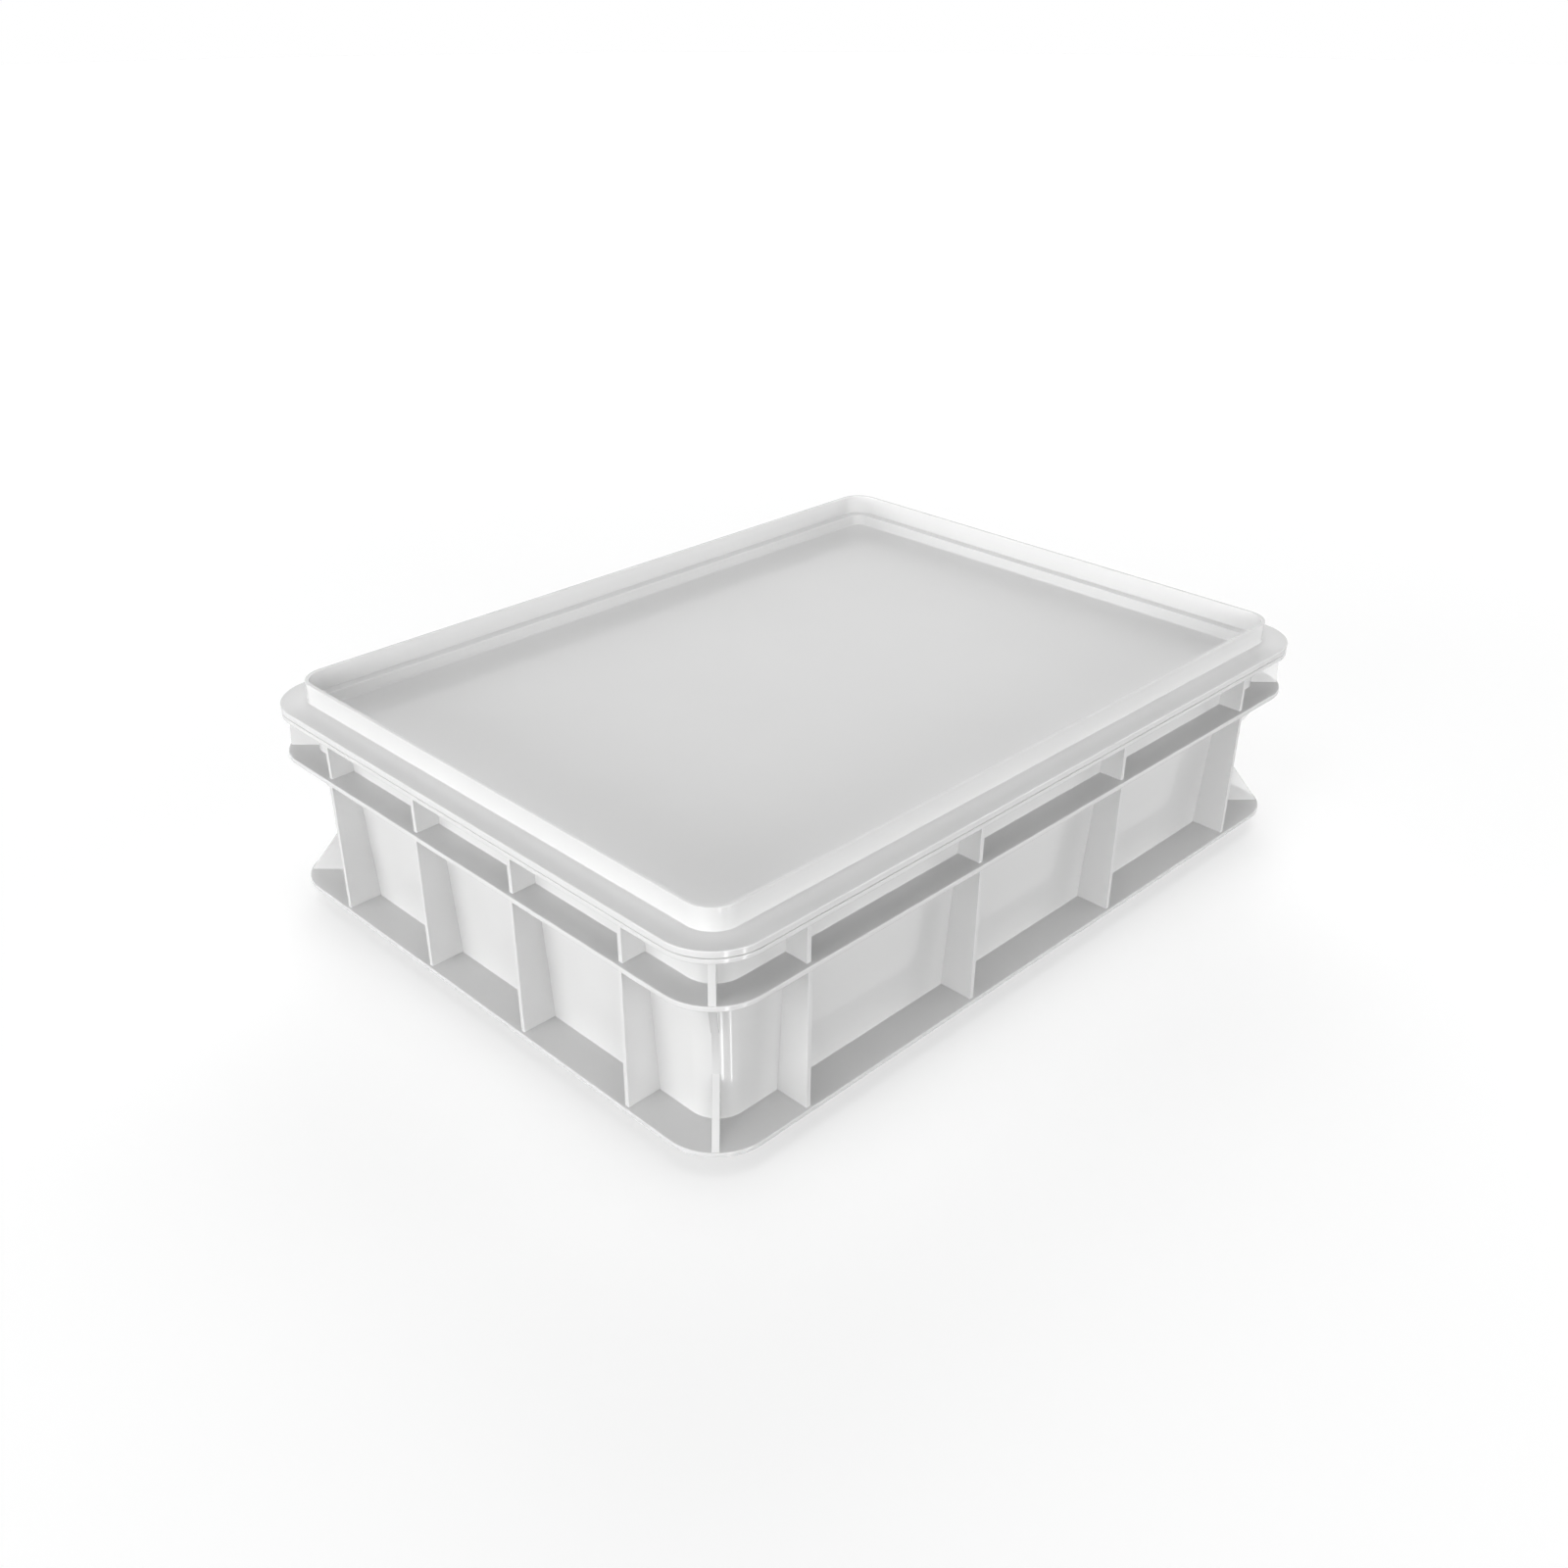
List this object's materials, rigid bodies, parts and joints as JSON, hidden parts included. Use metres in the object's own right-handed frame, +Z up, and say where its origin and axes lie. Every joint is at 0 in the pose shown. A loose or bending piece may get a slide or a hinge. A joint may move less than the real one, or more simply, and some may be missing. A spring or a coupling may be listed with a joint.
{
  "type": "dough proofing container",
  "caption": "Stacking rectangular dough proofing container with ribbed outer walls, rim and flanges, and a lift-off lid with a raised stacking edge.",
  "frame": {"origin": "centre of the footprint, on the surface that the container stands on", "axes": "+X along the long side, +Y along the short side, +Z up"},
  "size_m": [0.4, 0.3, 0.113],
  "materials": {
    "container_plastic": "white polypropylene, injection moulded, satin to gloss",
    "lid_plastic": "white polypropylene, injection moulded, gloss"
  },
  "bodies": {
    "container": {"container": "container_plastic"},
    "lid": {"lid": "lid_plastic"}
  },
  "joints": [
    {"name": "lid_lift", "type": "slide", "parent": "container", "child": "lid", "axis": [0, 0, 1], "range_m": [0, 0.12]}
  ]
}
